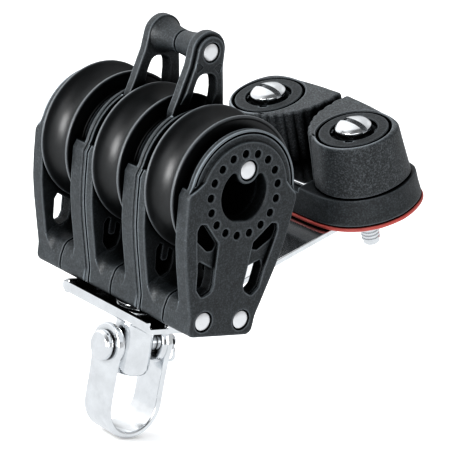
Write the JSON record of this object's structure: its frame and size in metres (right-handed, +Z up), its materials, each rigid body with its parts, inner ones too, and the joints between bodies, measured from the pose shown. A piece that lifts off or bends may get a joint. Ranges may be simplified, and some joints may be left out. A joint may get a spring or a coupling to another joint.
{
  "type": "triple block with cam cleat",
  "caption": "Ball-bearing sailing pulley block with side-by-side sheaves, swivel shackle, becket and a tilted cam cleat that grips the rope.",
  "frame": {"origin": "middle of the underside of the shackle bow, on the swivel axis", "axes": "+X along the sheave axle, +Y towards the cam cleat, +Z up to the becket"},
  "size_m": [0.0506, 0.069, 0.0847],
  "materials": {
    "black_nylon": "moulded glass-filled nylon, fine grain, soft sheen",
    "sheave_acetal": "satin",
    "ball_plastic": "satin",
    "stainless": "polished stainless steel",
    "spring_wire": "drawn wire",
    "red_plastic": "moulded"
  },
  "bodies": {
    "frame": {"cage_right_outer": "black_nylon", "cage_right_inner": "black_nylon", "cage_middle_right": "black_nylon", "cage_middle_left": "black_nylon", "cage_left_inner": "black_nylon", "cage_left_outer": "black_nylon", "hub_right": "black_nylon", "hub_middle": "black_nylon", "hub_left": "black_nylon", "rivet_top": "stainless", "rivet_front": "stainless", "rivet_rear": "stainless", "becket_arm_right": "black_nylon", "becket_arm_left": "black_nylon", "becket_rivet": "stainless", "cam_arm": "stainless", "swivel_washer": "ball_plastic", "cleat_plate": "red_plastic", "cleat_base": "black_nylon", "wear_strip": "stainless", "cam_hub_right": "black_nylon", "cam_hub_left": "black_nylon", "cam_spring_right": "spring_wire", "cam_spring_left": "spring_wire", "screw_right": "stainless", "screw_left": "stainless"},
    "sheave_right_body": {"sheave_right": "sheave_acetal"},
    "sheave_middle_body": {"sheave_middle": "sheave_acetal"},
    "sheave_left_body": {"sheave_left": "sheave_acetal"},
    "balls_right_body": {"ball_ring_right": "ball_plastic"},
    "balls_middle_body": {"ball_ring_middle": "ball_plastic"},
    "balls_left_body": {"ball_ring_left": "ball_plastic"},
    "swivel": {"swivel_post": "stainless", "swivel_nut": "stainless"},
    "shackle": {"shackle_bow": "stainless", "shackle_pin": "stainless"},
    "ring": {"split_ring": "stainless"},
    "cam_right_body": {"cam_right": "black_nylon"},
    "cam_left_body": {"cam_left": "black_nylon"},
    "cam_balls_right_body": {"cam_balls_right": "ball_plastic"},
    "cam_balls_left_body": {"cam_balls_left": "ball_plastic"}
  },
  "joints": [
    {"name": "sheave_right_spin", "type": "hinge", "parent": "frame", "child": "sheave_right_body", "pos_m": [0.0171, 0, 0.0572], "axis": [1, 0, 0], "continuous": true},
    {"name": "balls_right_orbit", "type": "hinge", "parent": "frame", "child": "balls_right_body", "pos_m": [0.0171, 0, 0.0572], "axis": [1, 0, 0], "continuous": true},
    {"name": "sheave_middle_spin", "type": "hinge", "parent": "frame", "child": "sheave_middle_body", "pos_m": [0, 0, 0.0572], "axis": [1, 0, 0], "continuous": true},
    {"name": "balls_middle_orbit", "type": "hinge", "parent": "frame", "child": "balls_middle_body", "pos_m": [0, 0, 0.0572], "axis": [1, 0, 0], "continuous": true},
    {"name": "sheave_left_spin", "type": "hinge", "parent": "frame", "child": "sheave_left_body", "pos_m": [-0.0171, 0, 0.0572], "axis": [1, 0, 0], "continuous": true},
    {"name": "balls_left_orbit", "type": "hinge", "parent": "frame", "child": "balls_left_body", "pos_m": [-0.0171, 0, 0.0572], "axis": [1, 0, 0], "continuous": true},
    {"name": "swivel_turn", "type": "hinge", "parent": "frame", "child": "swivel", "pos_m": [0, 0, 0.0255], "axis": [0, 0, 1], "continuous": true},
    {"name": "shackle_swing", "type": "hinge", "parent": "swivel", "child": "shackle", "pos_m": [0, 0, 0.019], "axis": [0, 1, 0], "range_deg": [-90, 90]},
    {"name": "split_ring_swing", "type": "hinge", "parent": "shackle", "child": "ring", "pos_m": [0, 0.00895, 0.019], "axis": [1, 0, 0], "range_deg": [-10, 100]},
    {"name": "cam_right_open", "type": "hinge", "parent": "frame", "child": "cam_right_body", "pos_m": [0.0135, 0.0361, 0.0668], "axis": [0, 0.4155, -0.9096], "range_deg": [0, 40], "stiffness_Nm_per_rad": 0.002, "springref_deg": -17.19},
    {"name": "cam_balls_right_orbit", "type": "hinge", "parent": "frame", "child": "cam_balls_right_body", "pos_m": [0.0135, 0.0361, 0.0668], "axis": [0, 0.4155, -0.9096], "range_deg": [0, 25]},
    {"name": "cam_left_open", "type": "hinge", "parent": "frame", "child": "cam_left_body", "pos_m": [-0.0135, 0.0361, 0.0668], "axis": [0, -0.4155, 0.9096], "range_deg": [0, 40], "stiffness_Nm_per_rad": 0.002, "springref_deg": -17.19},
    {"name": "cam_balls_left_orbit", "type": "hinge", "parent": "frame", "child": "cam_balls_left_body", "pos_m": [-0.0135, 0.0361, 0.0668], "axis": [0, -0.4155, 0.9096], "range_deg": [0, 25]}
  ],
  "couplings": [
    {"joint": "balls_right_orbit", "follows": "sheave_right_spin", "ratio": 0.5843},
    {"joint": "balls_middle_orbit", "follows": "sheave_middle_spin", "ratio": 0.5843},
    {"joint": "balls_left_orbit", "follows": "sheave_left_spin", "ratio": 0.5843},
    {"joint": "cam_balls_right_orbit", "follows": "cam_right_open", "ratio": 0.6147},
    {"joint": "cam_balls_left_orbit", "follows": "cam_left_open", "ratio": 0.6147}
  ]
}
